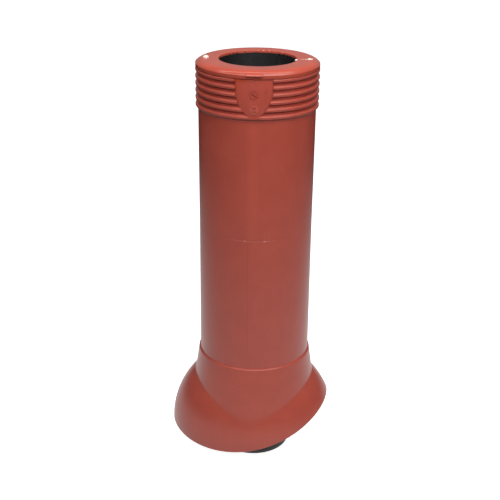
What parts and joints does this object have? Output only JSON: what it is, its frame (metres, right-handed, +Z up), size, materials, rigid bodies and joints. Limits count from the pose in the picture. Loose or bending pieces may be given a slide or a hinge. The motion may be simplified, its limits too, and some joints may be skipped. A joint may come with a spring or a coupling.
{
  "type": "plumbing roof vent pipe",
  "caption": "Insulated upright roof vent pipe with a ribbed collar, a closing ring on top, a two-lobed flared skirt and a black soil duct through its middle.",
  "frame": {"origin": "middle of the duct's lower end, on the axis of the pipe", "axes": "+Z up the pipe, -X down the roof, +X up the roof, -Y towards the side with the shield"},
  "size_m": [0.2355, 0.2024, 0.5936],
  "materials": {
    "shell": "brick red moulded plastic, satin",
    "ring": "brick red moulded plastic, satin, a shade lighter",
    "duct": "black extruded plastic, satin",
    "foam": "off-white rigid foam"
  },
  "bodies": {
    "root": {"outer_shell": "shell", "top_ring": "ring", "inner_pipe": "duct", "insulation": "foam"}
  },
  "joints": []
}
